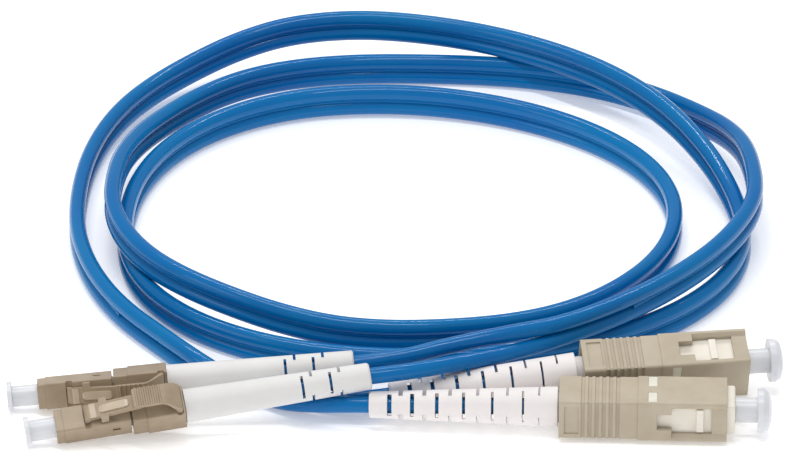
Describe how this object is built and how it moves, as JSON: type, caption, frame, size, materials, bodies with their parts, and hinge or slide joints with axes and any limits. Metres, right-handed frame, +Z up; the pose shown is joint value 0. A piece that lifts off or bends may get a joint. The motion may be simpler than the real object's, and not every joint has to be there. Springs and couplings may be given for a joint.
{
  "type": "duplex sc to lc fibre patch cord",
  "caption": "Duplex fibre patch cord lying in a loose coil, with push-pull square plugs at one end, small latched plugs at the other, dust caps and slotted boots.",
  "frame": {"origin": "on the table, under the middle of the box around the four plugs", "axes": "+X from the LC plugs to the SC plugs, +Y towards the coil, +Z up"},
  "size_m": [0.1291, 0.134, 0.0117],
  "materials": {
    "beige_housing": "satin",
    "cream_frame": "satin",
    "white_boot": "matte",
    "blue_jacket": "gloss",
    "cap_plastic": "translucent",
    "ceramic": "polished",
    "nickel": "plated",
    "brass": "plain",
    "spring_steel": "drawn"
  },
  "bodies": {
    "cord": {"sc_front_plug_frame": "cream_frame", "sc_front_spring": "spring_steel", "sc_front_stop_tube": "nickel", "sc_front_crimp_ring": "brass", "sc_front_boot": "white_boot", "sc_front_jacket_end": "blue_jacket", "sc_rear_plug_frame": "cream_frame", "sc_rear_spring": "spring_steel", "sc_rear_stop_tube": "nickel", "sc_rear_crimp_ring": "brass", "sc_rear_boot": "white_boot", "sc_rear_jacket_end": "blue_jacket", "lc_front_front_housing": "beige_housing", "lc_front_rear_housing": "beige_housing", "lc_front_spring": "spring_steel", "lc_front_crimp_ring": "brass", "lc_front_boot": "white_boot", "lc_front_jacket_end": "blue_jacket", "lc_rear_front_housing": "beige_housing", "lc_rear_rear_housing": "beige_housing", "lc_rear_spring": "spring_steel", "lc_rear_crimp_ring": "brass", "lc_rear_boot": "white_boot", "lc_rear_jacket_end": "blue_jacket", "coil": "blue_jacket", "sc_front_lead": "blue_jacket", "sc_rear_lead": "blue_jacket", "lc_front_lead": "blue_jacket", "lc_rear_lead": "blue_jacket"},
    "sc_front_sleeve": {"sc_front_grip_sleeve": "beige_housing"},
    "sc_front_cap": {"sc_front_dust_cap": "cap_plastic"},
    "sc_front_ferrule_unit": {"sc_front_ferrule": "ceramic", "sc_front_ferrule_flange": "nickel"},
    "sc_rear_sleeve": {"sc_rear_grip_sleeve": "beige_housing"},
    "sc_rear_cap": {"sc_rear_dust_cap": "cap_plastic"},
    "sc_rear_ferrule_unit": {"sc_rear_ferrule": "ceramic", "sc_rear_ferrule_flange": "nickel"},
    "lc_front_cap": {"lc_front_dust_cap": "cap_plastic"},
    "lc_front_ferrule_unit": {"lc_front_ferrule": "ceramic", "lc_front_ferrule_flange": "nickel"},
    "lc_front_latch_arm": {"lc_front_latch": "beige_housing"},
    "lc_front_trigger_arm": {"lc_front_trigger": "beige_housing"},
    "lc_rear_cap": {"lc_rear_dust_cap": "cap_plastic"},
    "lc_rear_ferrule_unit": {"lc_rear_ferrule": "ceramic", "lc_rear_ferrule_flange": "nickel"},
    "lc_rear_latch_arm": {"lc_rear_latch": "beige_housing"},
    "lc_rear_trigger_arm": {"lc_rear_trigger": "beige_housing"}
  },
  "joints": [
    {"name": "sc_front_sleeve_slide", "type": "slide", "parent": "cord", "child": "sc_front_sleeve", "axis": [0.9994, -0.0349, 0], "range_m": [-0.0001, 0.00135]},
    {"name": "sc_front_ferrule_slide", "type": "slide", "parent": "cord", "child": "sc_front_ferrule_unit", "axis": [0.9994, -0.0349, 0], "range_m": [-0.0015, 0], "stiffness_N_per_m": 500, "deforming": ["sc_front_spring"]},
    {"name": "sc_front_cap_pull", "type": "slide", "parent": "cord", "child": "sc_front_cap", "axis": [0.9994, -0.0349, 0], "range_m": [0, 0.012]},
    {"name": "sc_rear_sleeve_slide", "type": "slide", "parent": "cord", "child": "sc_rear_sleeve", "axis": [0.9928, 0.1201, 0], "range_m": [-0.00065, 0]},
    {"name": "sc_rear_ferrule_slide", "type": "slide", "parent": "cord", "child": "sc_rear_ferrule_unit", "axis": [0.9928, 0.1201, 0], "range_m": [-0.0015, 0], "stiffness_N_per_m": 500, "deforming": ["sc_rear_spring"]},
    {"name": "sc_rear_cap_pull", "type": "slide", "parent": "cord", "child": "sc_rear_cap", "axis": [0.9928, 0.1201, 0], "range_m": [0, 0.012]},
    {"name": "lc_front_ferrule_slide", "type": "slide", "parent": "cord", "child": "lc_front_ferrule_unit", "axis": [-0.9845, -0.1436, -0.1002], "range_m": [-0.001, 0], "stiffness_N_per_m": 400, "deforming": ["lc_front_spring"]},
    {"name": "lc_front_cap_pull", "type": "slide", "parent": "cord", "child": "lc_front_cap", "axis": [-0.9845, -0.1436, -0.1002], "range_m": [0, 0.01]},
    {"name": "lc_front_trigger_press", "type": "hinge", "parent": "cord", "child": "lc_front_trigger_arm", "pos_m": [-0.0355, -0.00799, 0.00741], "axis": [0.1746, -0.8497, -0.4975], "range_deg": [0, 10], "stiffness_Nm_per_rad": 0.005},
    {"name": "lc_front_latch_press", "type": "hinge", "parent": "cord", "child": "lc_front_latch_arm", "pos_m": [-0.05056, -0.00998, 0.00553], "axis": [-0.1746, 0.8497, 0.4975], "range_deg": [0, 8.5]},
    {"name": "lc_rear_ferrule_slide", "type": "slide", "parent": "cord", "child": "lc_rear_ferrule_unit", "axis": [-0.9954, -0.0591, -0.076], "range_m": [-0.001, 0], "stiffness_N_per_m": 400, "deforming": ["lc_rear_spring"]},
    {"name": "lc_rear_cap_pull", "type": "slide", "parent": "cord", "child": "lc_rear_cap", "axis": [-0.9954, -0.0591, -0.076], "range_m": [0, 0.01]},
    {"name": "lc_rear_trigger_press", "type": "hinge", "parent": "cord", "child": "lc_rear_trigger_arm", "pos_m": [-0.0384, -0.00009, 0.00513], "axis": [0.0887, -0.254, -0.9631], "range_deg": [0, 10], "stiffness_Nm_per_rad": 0.005},
    {"name": "lc_rear_latch_press", "type": "hinge", "parent": "cord", "child": "lc_rear_latch_arm", "pos_m": [-0.05364, -0.00061, 0.00386], "axis": [-0.0887, 0.254, 0.9631], "range_deg": [0, 8.5]}
  ],
  "couplings": [
    {"joint": "lc_front_latch_press", "follows": "lc_front_trigger_press", "ratio": 0.72},
    {"joint": "lc_rear_latch_press", "follows": "lc_rear_trigger_press", "ratio": 0.72}
  ]
}
